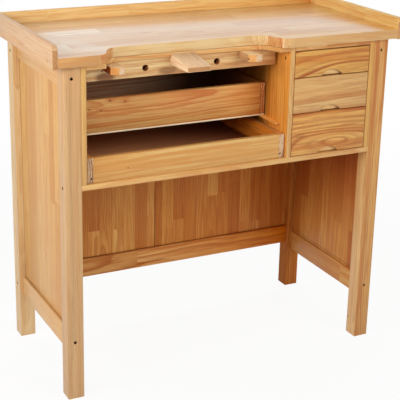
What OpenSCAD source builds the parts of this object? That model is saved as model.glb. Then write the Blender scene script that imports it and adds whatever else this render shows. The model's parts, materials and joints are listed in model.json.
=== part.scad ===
// Jeweller's workbench in solid pine.
// Four square legs, side and rear rails and thin stave panels carry a worktop with a raised rim.
// The worktop is cut away in front of the seat, where a pin board holds a bench pin, two mandrel
// bores and two pull-out armrests.  Below it are two sliding trays and a bank of three drawers.
// Millimetres.  X runs to the right along the front, Y to the rear, Z up from the floor.

/* [Frame] */
// Width over the legs
frame_w = 934; // [900:1:1100]
// Depth over the legs
frame_d = 441; // [420:1:560]
// Height of the legs
leg_h = 890; // [850:1:960]
// Side of a square leg
leg_s = 43; // [40:0.5:50]
// Thickness of the rails
rail_t = 18; // [16:0.5:22]
// Step from a leg's outer face in to a side rail
side_rail_step = 11; // [6:0.5:12]
// Step from the legs' rear faces in to a rear rail
rear_rail_step = 12; // [6:0.5:14]
// Height of the upper rails
upper_rail_h = 62; // [50:1:70]
// Height of the lower side rails
side_rail_h = 60; // [50:1:80]
// Floor to the underside of the lower side rails
side_rail_z = 126.5; // [90:0.5:160]
// Height of the lower rear rail
rear_rail_h = 56; // [50:1:80]
// Height of the lower rear rail's underside above that of the side rails
rear_rail_lift = 20.5; // [16:0.5:40]

/* [Panels] */
// Thickness of the side and rear panels
panel_t = 8; // [6:0.5:9]
// Step from a side rail's outer face in to its panel
side_panel_step = 7; // [4:0.5:8]
// Step from a rear rail's front face in to its panels
rear_panel_step = 5; // [4:0.5:8]
// Depth of the grooves that hold the panels
panel_groove = 6; // [4:0.5:8]
// Room between a panel's edge and the bottom of its groove
panel_room = 0.8; // [0.2:0.1:0.9]
// Play between a panel's face and its groove
panel_play = 0.2; // [0.1:0.05:0.5]
// Offset of the seam between the two rear panels from the middle
seam_x = -35; // [-150:1:150]
// Gap at the seam between the rear panels
seam_gap = 0.6; // [0.2:0.1:0.9]

/* [Carcase] */
// Height of the carcase from its underside to the worktop
carcase_h = 318; // [290:1:360]
// Thickness of the carcase bottom
bottom_t = 14; // [12:0.5:18]
// Thickness of the carcase sides and the partition
wall_t = 15; // [12:0.5:18]
// Thickness of the sub-top boards
subtop_t = 14; // [12:0.5:18]
// Clear width of the drawer bay
drawer_bay_w = 235; // [200:1:280]

/* [Worktop] */
// Thickness of the worktop
top_t = 25; // [20:0.5:32]
// Overhang of the worktop past the legs at each end
top_end_over = 18.5; // [10:0.5:40]
// Overhang of the worktop past the legs at the front
top_front_over = 15; // [8:0.5:30]
// Thickness of the rim boards
rim_t = 13.5; // [10:0.5:18]
// Height of the rim above the worktop
rim_rise = 31; // [20:1:50]
// Length of the end rims below the worktop's underside
rim_drop = 2; // [0:0.5:10]
// Radius of the end rims' upper front corners
rim_r = 16; // [4:1:30]

/* [Cutout] */
// Width of the cutout at the middle of its slanting sides
cut_w = 472; // [420:1:490]
// Depth of the cutout from the worktop's front edge
cut_d = 70.6; // [62:0.1:90]
// Offset of the cutout's middle from the middle of the open bay
cut_shift = 10.5; // [0:0.5:12]
// Angle between the cutout's sides and its rear edge
cut_turn = 66; // [60:1:70]
// Radius of the cutout's rear corners
cut_inner_r = 48; // [36:1:52]
// Radius of the worktop's corners at the mouth
cut_mouth_r = 33; // [25:1:36]

/* [Pin board] */
// Thickness of the pin board
board_t = 18; // [15:0.5:25]
// Height of the pin board
board_h = 44; // [40:0.5:60]
// Set-back of the pin board's face from the cutout's rear edge
board_back = 4.4; // [2:0.1:8]
// Gap between the pin board and the bay's walls at each end
board_end_gap = 10; // [4:0.5:20]
// Offset of the bench pin from the middle of the open bay
pin_shift = -2; // [-10:0.5:10]
// Diameter of the mandrel bores
mandrel_d = 17; // [10:0.5:20]
// Distance of each mandrel bore from the bench pin's middle
mandrel_dx = 101; // [80:1:130]
// Depth of the mandrel bores' axes below the sub-top
mandrel_drop = 22; // [18:0.5:28]

/* [Bench pin] */
// Width of the bench pin
pin_w = 65; // [50:1:80]
// Reach of the bench pin in front of the legs
pin_reach = 42; // [30:1:60]
// Thickness of the bench pin's nose
pin_nose_t = 13; // [8:0.5:18]
// Thickness of the bench pin at its shoulder
pin_root_t = 28; // [20:0.5:30]
// Depth of the bench pin's flat underside below the sub-top
pin_drop = 18; // [16:0.5:24]
// Length of the tenon behind the pin board
pin_tail = 12; // [4:1:30]
// Gap between the shoulder and the cutout's rear edge
pin_shoulder_gap = 0.6; // [0.3:0.1:3]

/* [Armrests] */
// Width of an armrest
arm_w = 36; // [30:1:50]
// Thickness of an armrest
arm_t = 18.5; // [15:0.5:22]
// Gap between the armrests' rear ends and the rear rail
arm_rear_gap = 81; // [20:1:120]
// Distance of the left armrest's middle from the bench pin's middle
arm_left_dx = 198; // [175:1:205]
// Distance of the right armrest's middle from the bench pin's middle
arm_right_dx = 184; // [175:1:205]
// Set-back of the armrests' noses from the legs' front faces
arm_back = 0; // [0:0.5:10]
// Width of the chamfer at the nose's left corner
arm_chamfer_w = 19; // [8:0.5:22]
// Length of the chamfer along the armrest
arm_chamfer_l = 10.5; // [6:0.5:18]
// Width of the bearer that carries the armrests
bearer_w = 18; // [15:0.5:30]
// Height of the bearer
bearer_h = 14; // [10:0.5:20]
// Distance from the legs' front faces to the bearer
bearer_back = 200; // [150:5:250]

/* [Trays] */
// Thickness of the trays' boards
tray_t = 15; // [12:0.5:18]
// Thickness of the trays' and drawers' bottoms
ply_t = 4; // [3:0.5:6]
// Gap between a tray and the bay's wall at each side
tray_gap = 3; // [0.5:0.1:4]
// Gap between the trays' rear boards and the rear rail
tray_rear_gap = 6; // [2:0.5:20]
// Clear height between the upper tray and the pin board
tray_hand_gap = 63.5; // [45:0.1:90]
// Set-back of the upper tray's front from the legs' front faces
upper_tray_back = 118; // [60:1:160]
// Height of the upper tray's cleats, to their upper faces, above the carcase bottom
cleat_z = 90; // [75:0.5:100]
// Height of a tray cleat
cleat_h = 5; // [4:0.5:20]
// Width of a tray cleat
cleat_w = 15; // [10:0.5:20]
// Set-back of the tray cleats from the legs' front faces
cleat_back = 37; // [20:1:60]
// Gap between the lower tray and the cleats above it
tray_head_gap = 19; // [3:0.5:25]
// Set-back of the lower tray's front from the legs' front faces
lower_tray_back = 7; // [2:0.5:30]
// Height of the lower tray's bottom panel above its underside
lower_panel_rise = 4; // [3:0.5:5]
// Depth of the lower tray's grooves
tray_groove = 6; // [4:0.5:8]

/* [Drawers] */
// Height of the top drawer's front
drawer_1_h = 70; // [55:0.5:80]
// Height of the middle drawer's front
drawer_2_h = 95; // [80:0.5:105]
// Thickness of the drawer fronts
front_t = 15; // [12:0.5:20]
// Gap between the drawer fronts and round them
front_gap = 2.5; // [1.5:0.1:4]
// Gap between a front and the bay's wall at each side
front_side_gap = 1.5; // [0.8:0.1:2.5]
// Thickness of the drawers' sides and backs
drawer_side_t = 12; // [9:0.5:15]
// Gap between the drawers' backs and the rear rail
drawer_rear_gap = 26; // [5:1:80]
// Width of the finger notch
notch_w = 64; // [40:1:80]
// Height of the finger notch
notch_h = 15; // [10:0.5:20]
// Wood left behind the finger notch
notch_web = 6; // [4:0.5:8]
// Height of a drawer cleat
runner_h = 10; // [8:0.5:14]
// Width of a drawer cleat
runner_w = 15; // [12:0.5:20]
// Gap between a drawer's sides and the cleats above them
drawer_head_gap = 3; // [2:0.5:8]

/* [Fasteners] */
// Diameter of the frame screws' heads
screw_head_d = 7.4; // [6:0.1:9]
// Play round a frame screw's head in its recess
screw_head_play = 0.3; // [0.1:0.05:0.6]
// Depth of the recesses over the frame screws
screw_recess = 14; // [8:0.5:18]
// Height of a frame screw's head
screw_head_h = 4; // [3:0.5:5]
// Diameter of a frame screw's shank
screw_d = 5; // [4:0.1:6]
// Length of a frame screw in the rail
screw_bite = 42; // [25:1:60]
// Width across the flats of a frame screw's socket
screw_socket = 4; // [3:0.5:4]
// Diameter of the rim and tray screws' heads
small_head_d = 5; // [4:0.1:6]
// Diameter of the rim and tray screws' shanks
small_screw_d = 3; // [2.5:0.1:3.5]
// Length of the rim and tray screws
small_screw_l = 32; // [25:1:40]
// Depth of the rim screws' axes below the worktop's surface
rim_screw_drop = 12.5; // [8:0.5:16]
// Height of the tray screws' axes above the tray's underside
tray_screw_rise = 12.5; // [11:0.5:20]
// Distance of the tray screws' axes from the inner faces of the tray's sides
tray_screw_in = 4; // [3.5:0.5:8]
// Height of the lower front screws above the side rails' middles
front_screw_lift = 5; // [-10:0.5:15]
// Shift of the side rails' rear screws from the rails' middles, away from the rear rails' screws
screw_stagger = 16; // [12:0.5:20]
// Depth of the rear rails' screws below the rails' middles
rear_screw_drop = 15; // [8:0.5:18]
// Distance of the first rim screw from the rim's front end
rim_screw_front = 33; // [20:1:60]
// Distance of the last rim screw from the rim's rear end
rim_screw_rear = 24.5; // [18:0.5:60]
// Height of a small screw's head
small_head_h = 2; // [1.5:0.1:3]
// Depth of a small screw's head below the surface
small_recess = 1; // [0.5:0.1:2]

/* [Fits] */
// Running gap between sliding pieces
run = 0.3; // [0.2:0.05:0.5]
// Play between a screw's shank and the hole it passes through
screw_play = 0.2; // [0.1:0.05:0.4]
// Play between a screw's thread and its pilot hole
thread_play = 0.05; // [0.02:0.01:0.1]

/* [Hidden] */

$fn = 64;
over = 1;                                   // how far a cutter runs past a face

// Wood and metal tones
pale = [0.89, 0.76, 0.60];
honey = [0.84, 0.67, 0.46];
amber = [0.77, 0.54, 0.31];
russet = [0.62, 0.39, 0.20];
steel = [0.45, 0.42, 0.40];

// Frame
half_w = frame_w / 2;
leg_in = half_w - leg_s;                    // inner faces of the legs
rear_leg_y = frame_d - leg_s;               // front faces of the rear legs
rail_out = half_w - side_rail_step;         // outer faces of the side rails
rail_in = rail_out - rail_t;
rail_mid = rail_out - rail_t / 2;
upper_rail_z = leg_h - upper_rail_h;
side_rail_top = side_rail_z + side_rail_h;
rear_rail_z = side_rail_z + rear_rail_lift;
rear_rail_top = rear_rail_z + rear_rail_h;
rear_rail_out = frame_d - rear_rail_step;   // rear faces of the rear rails
rear_rail_in = rear_rail_out - rail_t;
rear_rail_mid = rear_rail_out - rail_t / 2;

// Panels
side_panel_out = rail_out - side_panel_step;
side_panel_in = side_panel_out - panel_t;
rear_panel_front = rear_rail_in + rear_panel_step;
rear_panel_rear = rear_panel_front + panel_t;
panel_fit = panel_groove - panel_room;      // how far a panel's free edges reach into a groove

// Carcase
knee_h = leg_h - carcase_h;
bay_floor = knee_h + bottom_t;
subtop_z = leg_h - subtop_t;
bay_left = -leg_in + wall_t;                // left wall of the open bay
drawer_right = leg_in - wall_t;             // right wall of the drawer bay
drawer_left = drawer_right - drawer_bay_w;
bay_right = drawer_left - wall_t;           // right wall of the open bay
bay_mid = (bay_left + bay_right) / 2;
carcase_d = rear_rail_in;

// Worktop and rim
top_w = frame_w + 2 * top_end_over;
top_z = leg_h + top_t;
top_rear = frame_d - rim_t;
rim_top = top_z + rim_rise;

// Cutout and pin board
cut_x = bay_mid + cut_shift;
cut_rear = cut_d - top_front_over;
cut_inner_y = cut_rear - cut_inner_r;       // centres of the rear corners
cut_mouth_y = cut_mouth_r - top_front_over; // centres of the mouth's corners
side_rear_y = cut_inner_y + cut_inner_r * cos(cut_turn);
side_front_y = cut_mouth_y - cut_mouth_r * cos(cut_turn);
side_lean = (side_rear_y - side_front_y) / tan(cut_turn);
side_rear_x = (cut_w - side_lean) / 2;
side_front_x = (cut_w + side_lean) / 2;
cut_inner_x = side_rear_x - cut_inner_r * sin(cut_turn);
cut_mouth_x = side_front_x + cut_mouth_r * sin(cut_turn);
board_front = cut_rear + board_back;
board_rear = board_front + board_t;
board_z = subtop_z - board_h;
pin_x = bay_mid + pin_shift;
pin_z = subtop_z - pin_drop;
arm_x = [pin_x - arm_left_dx, pin_x + arm_right_dx];
pin_shoulder = cut_rear - pin_shoulder_gap;
pin_end = board_rear + pin_tail;
mandrel_z = subtop_z - mandrel_drop;
arm_top = subtop_z - run;
arm_z = arm_top - arm_t;
bearer_top = arm_z - run;
arm_end = carcase_d - arm_rear_gap;

// Trays
tray_left = bay_left + tray_gap;
tray_right = bay_right - tray_gap;
tray_rear = carcase_d - tray_rear_gap;
upper_tray_z = bay_floor + cleat_z + run;
upper_tray_top = board_z - tray_hand_gap;
lower_tray_z = bay_floor + run;
lower_tray_top = bay_floor + cleat_z - cleat_h - tray_head_gap;
lower_panel_z = lower_tray_z + lower_panel_rise;

// Drawers, from the top one down: underside and top of each front
front_left = drawer_left + front_side_gap;
front_right = drawer_right - front_side_gap;
drawer_mid = (drawer_left + drawer_right) / 2;
drawer_1_top = subtop_z - front_gap;
drawer_1_z = drawer_1_top - drawer_1_h;
drawer_2_top = drawer_1_z - front_gap;
drawer_2_z = drawer_2_top - drawer_2_h;
drawer_3_top = drawer_2_z - front_gap;
drawer_3_z = bay_floor + front_gap;
drawer_rear = carcase_d - drawer_rear_gap;
drawer_sink = front_gap - run;              // how far the bottoms lie below the fronts
notch_r = (notch_w * notch_w / 4 + notch_h * notch_h) / (2 * notch_h);
runner_1_top = drawer_1_z - drawer_sink - run;
runner_2_top = drawer_2_z - drawer_sink - run;
box_1_top = subtop_z - drawer_head_gap - front_gap;
box_2_top = runner_1_top - runner_h - drawer_head_gap;
box_3_top = runner_2_top - runner_h - drawer_head_gap;

// Heights of the screws that join the rails to the legs.  The side rails' screws at the rear are
// staggered, because the rear rails' screws cross them inside the rear legs.
screw_recess_d = screw_head_d + 2 * screw_head_play;
upper_mid_z = leg_h - upper_rail_h / 2;
side_mid_z = side_rail_z + side_rail_h / 2;
rear_mid_z = rear_rail_z + rear_rail_h / 2;
front_screw_z = [side_mid_z + front_screw_lift, upper_mid_z];
back_screw_z = [side_mid_z - screw_stagger, upper_mid_z + screw_stagger];
rear_screw_z = [rear_mid_z - rear_screw_drop, upper_mid_z - rear_screw_drop];
bottom_screw_y = leg_s / 2;
bottom_screw_z = knee_h + bottom_t / 2;

// Rim and tray screws
rim_screw_z = top_z - rim_screw_drop;
rim_screw_y0 = rim_screw_front - top_front_over;
rim_screw_y1 = frame_d - rim_screw_rear;
rim_screw_y = [rim_screw_y0, (rim_screw_y0 + rim_screw_y1) / 2, rim_screw_y1];
tray_screw_z = lower_tray_z + tray_screw_rise;
tray_screw_x = [tray_left + tray_t - tray_screw_in, tray_right - tray_t + tray_screw_in];

// The model's origin lies on the floor, midway between the bench pin's nose and the rear legs.
mid_y = (frame_d - pin_reach) / 2;

module at_home() {
    translate([0, -mid_y, 0]) children();
}

module block(low, high) {
    translate(low) cube(high - low);
}

// A mirrored copy for the left-hand side
module on_left() {
    mirror([1, 0, 0]) children();
}

// Places its children along +Y from a face, at x and z
module along_y(x, y, z) {
    translate([x, y, z]) rotate([-90, 0, 0]) children();
}

// Places its children along -Y from a face, at x and z
module along_minus_y(x, y, z) {
    translate([x, y, z]) rotate([90, 0, 0]) children();
}

// Places its children along -X from a face, at y and z
module along_minus_x(x, y, z) {
    translate([x, y, z]) rotate([0, -90, 0]) children();
}

// ---- Fasteners ----

// Frame screw along +Z: its recess starts at z = 0, and its tip is screw_bite past the depth given
module frame_screw(through) {
    difference() {
        translate([0, 0, screw_recess - screw_head_h])
            cylinder(d = screw_head_d, h = screw_head_h);
        translate([0, 0, screw_recess - screw_head_h - over])
            cylinder(d = screw_socket / cos(30), h = screw_head_h / 2 + over, $fn = 6);
    }
    translate([0, 0, screw_recess - screw_head_h / 4])
        cylinder(d = screw_d, h = through + screw_bite - screw_recess + screw_head_h / 4);
}

// Recess and clearance hole of a frame screw through a leg
module frame_screw_hole(through) {
    translate([0, 0, -over]) cylinder(d = screw_recess_d, h = screw_recess + over);
    cylinder(d = screw_d + 2 * screw_play, h = through + over);
}

// Pilot hole of a frame screw in a rail's end, from z = 0
module pilot_hole() {
    translate([0, 0, -over])
        cylinder(d = screw_d + 2 * thread_play, h = screw_bite + over + thread_play);
}

// Small countersunk screw along +Z from a face at z = 0
module small_screw() {
    translate([0, 0, small_recess]) cylinder(d = small_head_d, h = small_head_h);
    translate([0, 0, small_recess + small_head_h / 2])
        cylinder(d = small_screw_d, h = small_screw_l - small_recess - small_head_h / 2);
}

module small_screw_hole() {
    translate([0, 0, -over])
        cylinder(d = small_head_d + 2 * thread_play, h = small_recess + small_head_h + over);
    cylinder(d = small_screw_d + 2 * thread_play, h = small_screw_l + thread_play);
}

module frame_screws() {
    at_home() color(steel) for (side = [0, 1]) mirror([side, 0, 0]) {
        for (z = front_screw_z) along_y(rail_mid, 0, z) frame_screw(leg_s);
        for (z = back_screw_z) along_minus_y(rail_mid, frame_d, z) frame_screw(leg_s);
        for (z = rear_screw_z) along_minus_x(half_w, rear_rail_mid, z) frame_screw(leg_s);
        along_minus_x(half_w, bottom_screw_y, bottom_screw_z) frame_screw(leg_s);
    }
}

module rim_screws() {
    at_home() color(russet) for (side = [0, 1], y = rim_screw_y) mirror([side, 0, 0])
        along_minus_x(half_w + top_end_over + rim_t, y, rim_screw_z) small_screw();
}

// ---- Legs, rails and panels ----

// Groove for a side panel, cut between two heights on a face at y
module side_panel_groove(y0, y1) {
    block([side_panel_in - panel_play, y0, side_rail_top - panel_groove],
          [side_panel_out + panel_play, y1, upper_rail_z + panel_groove]);
}

// Front leg of the right-hand side
module front_leg() {
    difference() {
        block([leg_in, 0, 0], [half_w, leg_s, leg_h]);
        side_panel_groove(leg_s - panel_groove, leg_s + over);
        for (z = front_screw_z) along_y(rail_mid, 0, z) frame_screw_hole(leg_s);
        along_minus_x(half_w, bottom_screw_y, bottom_screw_z) frame_screw_hole(leg_s);
    }
}

// Rear leg of the right-hand side
module rear_leg() {
    difference() {
        block([leg_in, rear_leg_y, 0], [half_w, frame_d, leg_h]);
        side_panel_groove(rear_leg_y - over, rear_leg_y + panel_groove);
        block([leg_in - over, rear_panel_front - panel_play, rear_rail_top - panel_groove],
              [leg_in + panel_groove, rear_panel_rear + panel_play, upper_rail_z + panel_groove]);
        for (z = back_screw_z) along_minus_y(rail_mid, frame_d, z) frame_screw_hole(leg_s);
        for (z = rear_screw_z) along_minus_x(half_w, rear_rail_mid, z) frame_screw_hole(leg_s);
    }
}

// Side rail of the right-hand side, with its panel groove and pilot holes
module side_rail(z0, z1, groove_z0, groove_z1, front_z, back_z) {
    difference() {
        block([rail_in, leg_s, z0], [rail_out, rear_leg_y, z1]);
        block([side_panel_in - panel_play, leg_s - over, groove_z0],
              [side_panel_out + panel_play, rear_leg_y + over, groove_z1]);
        along_y(rail_mid, leg_s, front_z) pilot_hole();
        along_minus_y(rail_mid, rear_leg_y, back_z) pilot_hole();
    }
}

module lower_side_rail() {
    side_rail(side_rail_z, side_rail_top, side_rail_top - panel_groove, side_rail_top + over,
              front_screw_z[0], back_screw_z[0]);
}

module upper_side_rail() {
    side_rail(upper_rail_z, leg_h, upper_rail_z - over, upper_rail_z + panel_groove,
              front_screw_z[1], back_screw_z[1]);
}

// Rear rail with its panel groove and pilot holes
module rear_rail(z0, z1, groove_z0, groove_z1, screw_z) {
    difference() {
        block([-leg_in, rear_rail_in, z0], [leg_in, rear_rail_out, z1]);
        block([-leg_in - over, rear_panel_front - panel_play, groove_z0],
              [leg_in + over, rear_panel_rear + panel_play, groove_z1]);
        for (side = [0, 1]) mirror([side, 0, 0])
            along_minus_x(leg_in, rear_rail_mid, screw_z) pilot_hole();
    }
}

// Side panel of the right-hand side, standing in the lower rail's groove
module side_panel() {
    block([side_panel_in, leg_s - panel_fit, side_rail_top - panel_groove],
          [side_panel_out, rear_leg_y + panel_fit, upper_rail_z + panel_fit]);
}

// Part of the rear panel between two x positions, standing in the lower rail's groove
module rear_panel(x0, x1) {
    block([x0, rear_panel_front, rear_rail_top - panel_groove],
          [x1, rear_panel_rear, upper_rail_z + panel_fit]);
}

module leg_front_left() { at_home() color(honey) on_left() front_leg(); }
module leg_front_right() { at_home() color(amber) front_leg(); }
module leg_rear_left() { at_home() color(honey) on_left() rear_leg(); }
module leg_rear_right() { at_home() color(russet) rear_leg(); }
module rail_lower_left() { at_home() color(pale) on_left() lower_side_rail(); }
module rail_upper_left() { at_home() color(pale) on_left() upper_side_rail(); }
module rail_lower_right() { at_home() color(amber) lower_side_rail(); }
module rail_upper_right() { at_home() color(amber) upper_side_rail(); }

module rail_lower_rear() {
    at_home() color(amber)
        rear_rail(rear_rail_z, rear_rail_top, rear_rail_top - panel_groove, rear_rail_top + over,
                  rear_screw_z[0]);
}

module rail_upper_rear() {
    at_home() color(amber)
        rear_rail(upper_rail_z, leg_h, upper_rail_z - over, upper_rail_z + panel_groove,
                  rear_screw_z[1]);
}

module side_panel_left() { at_home() color(honey) on_left() side_panel(); }
module side_panel_right() { at_home() color(russet) side_panel(); }

module back_panel_left() {
    at_home() color(russet) rear_panel(-leg_in - panel_fit, seam_x - seam_gap / 2);
}

module back_panel_right() {
    at_home() color(russet) rear_panel(seam_x + seam_gap / 2, leg_in + panel_fit);
}

// ---- Carcase ----

module carcase_bottom() {
    at_home() color(amber) difference() {
        block([-leg_in, 0, knee_h], [leg_in, carcase_d, bay_floor]);
        for (side = [0, 1]) mirror([side, 0, 0])
            along_minus_x(leg_in, bottom_screw_y, bottom_screw_z) pilot_hole();
    }
}

module carcase_wall(x) {
    block([x, 0, bay_floor], [x + wall_t, carcase_d, leg_h]);
}

module carcase_side_left() { at_home() color(honey) carcase_wall(-leg_in); }
module carcase_side_right() { at_home() color(amber) carcase_wall(drawer_right); }
module partition() { at_home() color(honey) carcase_wall(bay_right); }

// Outline of the cutout, seen from above: slanting sides between rounded rear corners and a
// rounded mouth
module cutout_outline() {
    mouth = -top_front_over;
    translate([cut_x, 0]) difference() {
        union() {
            for (side = [-1, 1]) {
                polygon([
                    [0, mouth - over], [side * cut_mouth_x, mouth - over],
                    [side * cut_mouth_x, mouth], [side * side_front_x, side_front_y],
                    [side * side_rear_x, side_rear_y], [side * cut_inner_x, cut_rear], [0, cut_rear]
                ]);
                translate([side * cut_inner_x, cut_inner_y]) circle(r = cut_inner_r);
            }
        }
        for (side = [-1, 1])
            translate([side * cut_mouth_x, cut_mouth_y]) circle(r = cut_mouth_r);
    }
}

module cutout(z0, z1) {
    translate([0, 0, z0 - over]) linear_extrude(z1 - z0 + 2 * over) cutout_outline();
}

module subtop_left() {
    at_home() color(amber) difference() {
        block([bay_left, 0, subtop_z], [bay_right, carcase_d, leg_h]);
        cutout(subtop_z, leg_h);
    }
}

module subtop_right() {
    at_home() color(honey)
        block([drawer_left, 0, subtop_z], [drawer_right, carcase_d, leg_h]);
}

// ---- Worktop and rim ----

module worktop() {
    at_home() color(pale) difference() {
        block([-top_w / 2, -top_front_over, leg_h], [top_w / 2, top_rear, top_z]);
        cutout(leg_h, top_z);
        for (side = [0, 1], y = rim_screw_y) mirror([side, 0, 0])
            along_minus_x(half_w + top_end_over + rim_t, y, rim_screw_z) small_screw_hole();
    }
}

// End rim of the right-hand side, with a rounded upper front corner
module end_rim() {
    front = -top_front_over;
    low = leg_h - rim_drop;
    difference() {
        translate([top_w / 2, 0, 0]) rotate([90, 0, 90]) linear_extrude(rim_t) union() {
            translate([front + rim_r, low]) square([frame_d - front - rim_r, rim_top - low]);
            translate([front, low]) square([2 * rim_r, rim_top - low - rim_r]);
            translate([front + rim_r, rim_top - rim_r]) circle(r = rim_r);
        }
        for (y = rim_screw_y)
            along_minus_x(top_w / 2 + rim_t, y, rim_screw_z) small_screw_hole();
    }
}

module rim_left() { at_home() color(honey) on_left() end_rim(); }
module rim_right() { at_home() color(amber) end_rim(); }

module rim_rear() {
    at_home() color(honey) block([-top_w / 2, top_rear, leg_h], [top_w / 2, frame_d, rim_top]);
}

// ---- Pin board, bench pin and armrests ----

// Notch in the pin board's upper edge for a slide of width w with its underside at z
module board_notch(x, w, z) {
    block([x - w / 2 - run, board_front - over, z - run],
          [x + w / 2 + run, board_rear + over, subtop_z + over]);
}

module pin_board() {
    at_home() color(pale) difference() {
        block([bay_left + board_end_gap, board_front, board_z],
              [bay_right - board_end_gap, board_rear, subtop_z]);
        board_notch(pin_x, pin_w, pin_z);
        for (x = arm_x) board_notch(x, arm_w, arm_z);
        for (side = [-1, 1])
            along_y(pin_x + side * mandrel_dx, board_front - over, mandrel_z)
                cylinder(d = mandrel_d, h = board_t + 2 * over);
    }
}

// Bench pin: a wedge with a sloping top, and a tenon through the pin board under the sub-top
module bench_pin() {
    at_home() color(pale) translate([pin_x - pin_w / 2, 0, 0])
        rotate([90, 0, 90]) linear_extrude(pin_w) polygon([
            [-pin_reach, pin_z], [pin_end, pin_z], [pin_end, subtop_z - run],
            [pin_shoulder, subtop_z - run], [pin_shoulder, pin_z + pin_root_t],
            [-pin_reach, pin_z + pin_nose_t]
        ]);
}

// Armrest: a long slat with the left corner of its nose cut off
module armrest(x) {
    translate([x, arm_back, arm_z]) linear_extrude(arm_t) polygon([
        [-arm_w / 2, arm_chamfer_l], [-arm_w / 2 + arm_chamfer_w, 0], [arm_w / 2, 0],
        [arm_w / 2, arm_end - arm_back], [-arm_w / 2, arm_end - arm_back]
    ]);
}

module armrest_left() { at_home() color(pale) armrest(arm_x[0]); }
module armrest_right() { at_home() color(pale) armrest(arm_x[1]); }

module armrest_bearer() {
    at_home() color(russet)
        block([bay_left, bearer_back, bearer_top - bearer_h],
              [bay_right, bearer_back + bearer_w, bearer_top]);
}

// ---- Trays ----

module tray_cleats() {
    at_home() color(amber) for (x = [bay_left, bay_right - cleat_w])
        block([x, cleat_back, bay_floor + cleat_z - cleat_h],
              [x + cleat_w, carcase_d, bay_floor + cleat_z]);
}

// Two side boards of a tray between y0 and the rear, from z0 to z1
module tray_sides(y0, z0, z1) {
    for (x = [tray_left, tray_right - tray_t])
        block([x, y0, z0], [x + tray_t, tray_rear, z1]);
}

// Cross board of a tray between its sides
module tray_cross(y, z0, z1) {
    block([tray_left + tray_t, y, z0], [tray_right - tray_t, y + tray_t, z1]);
}

module upper_tray_front() {
    at_home() color(amber) tray_cross(upper_tray_back, upper_tray_z + ply_t, upper_tray_top);
}

module upper_tray_back() {
    at_home() color(amber) tray_cross(tray_rear - tray_t, upper_tray_z + ply_t, upper_tray_top);
}

module upper_tray_sides() {
    at_home() color(amber) tray_sides(upper_tray_back, upper_tray_z + ply_t, upper_tray_top);
}

module upper_tray_bottom() {
    at_home() color(pale) block([tray_left, upper_tray_back, upper_tray_z],
                                [tray_right, tray_rear, upper_tray_z + ply_t]);
}

// Space that the lower tray's bottom panel takes up, grown by a play at its edges
module lower_panel_space(edge, face) {
    x0 = tray_left + tray_t - tray_groove;
    x1 = tray_right - tray_t + tray_groove;
    y0 = lower_tray_back + tray_t - tray_groove;
    y1 = tray_rear - tray_t + tray_groove;
    block([x0 - edge, y0 - edge, lower_panel_z],
          [x1 + edge, y1 + edge, lower_panel_z + ply_t + face]);
}

module lower_tray_front() {
    at_home() color(honey) difference() {
        tray_cross(lower_tray_back, lower_tray_z, lower_tray_top);
        lower_panel_space(panel_room, panel_play);
    }
}

module lower_tray_back() {
    at_home() color(honey) difference() {
        tray_cross(tray_rear - tray_t, lower_tray_z, lower_tray_top);
        lower_panel_space(panel_room, panel_play);
    }
}

module lower_tray_sides() {
    at_home() color(honey) difference() {
        tray_sides(lower_tray_back, lower_tray_z, lower_tray_top);
        lower_panel_space(panel_room, panel_play);
        for (x = tray_screw_x) along_y(x, lower_tray_back, tray_screw_z) small_screw_hole();
    }
}

module lower_tray_bottom() {
    at_home() color(russet) lower_panel_space(0, 0);
}

module lower_tray_screws() {
    at_home() color(steel) for (x = tray_screw_x)
        along_y(x, lower_tray_back, tray_screw_z) small_screw();
}

// ---- Drawers ----

module drawer_cleats() {
    at_home() color(amber) for (top = [runner_1_top, runner_2_top],
                                x = [drawer_left, drawer_right - runner_w])
        block([x, front_t + run, top - runner_h], [x + runner_w, carcase_d, top]);
}

// Front with a half-moon finger notch in its lower edge, which stops short of the back
module drawer_front(z0, z1) {
    difference() {
        block([front_left, 0, z0], [front_right, front_t, z1]);
        along_y(drawer_mid, -over, z0 + notch_h - notch_r)
            cylinder(r = notch_r, h = front_t - notch_web + over);
    }
}

// Two sides of a drawer, standing on its bottom panel
module drawer_sides(z0, top) {
    for (x = [front_left, front_right - drawer_side_t])
        block([x, front_t, z0 - drawer_sink + ply_t], [x + drawer_side_t, drawer_rear, top]);
}

module drawer_back(z0, top) {
    block([front_left + drawer_side_t, drawer_rear - drawer_side_t, z0 - drawer_sink + ply_t],
          [front_right - drawer_side_t, drawer_rear, top]);
}

module drawer_bottom(z0) {
    block([front_left, front_t, z0 - drawer_sink],
          [front_right, drawer_rear, z0 - drawer_sink + ply_t]);
}

module drawer_1_front() { at_home() color(amber) drawer_front(drawer_1_z, drawer_1_top); }
module drawer_1_sides() { at_home() color(pale) drawer_sides(drawer_1_z, box_1_top); }
module drawer_1_back() { at_home() color(pale) drawer_back(drawer_1_z, box_1_top); }
module drawer_1_bottom() { at_home() color(pale) drawer_bottom(drawer_1_z); }

module drawer_2_front() { at_home() color(amber) drawer_front(drawer_2_z, drawer_2_top); }
module drawer_2_sides() { at_home() color(pale) drawer_sides(drawer_2_z, box_2_top); }
module drawer_2_back() { at_home() color(pale) drawer_back(drawer_2_z, box_2_top); }
module drawer_2_bottom() { at_home() color(pale) drawer_bottom(drawer_2_z); }

module drawer_3_front() { at_home() color(amber) drawer_front(drawer_3_z, drawer_3_top); }
module drawer_3_sides() { at_home() color(pale) drawer_sides(drawer_3_z, box_3_top); }
module drawer_3_back() { at_home() color(pale) drawer_back(drawer_3_z, box_3_top); }
module drawer_3_bottom() { at_home() color(pale) drawer_bottom(drawer_3_z); }

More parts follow.
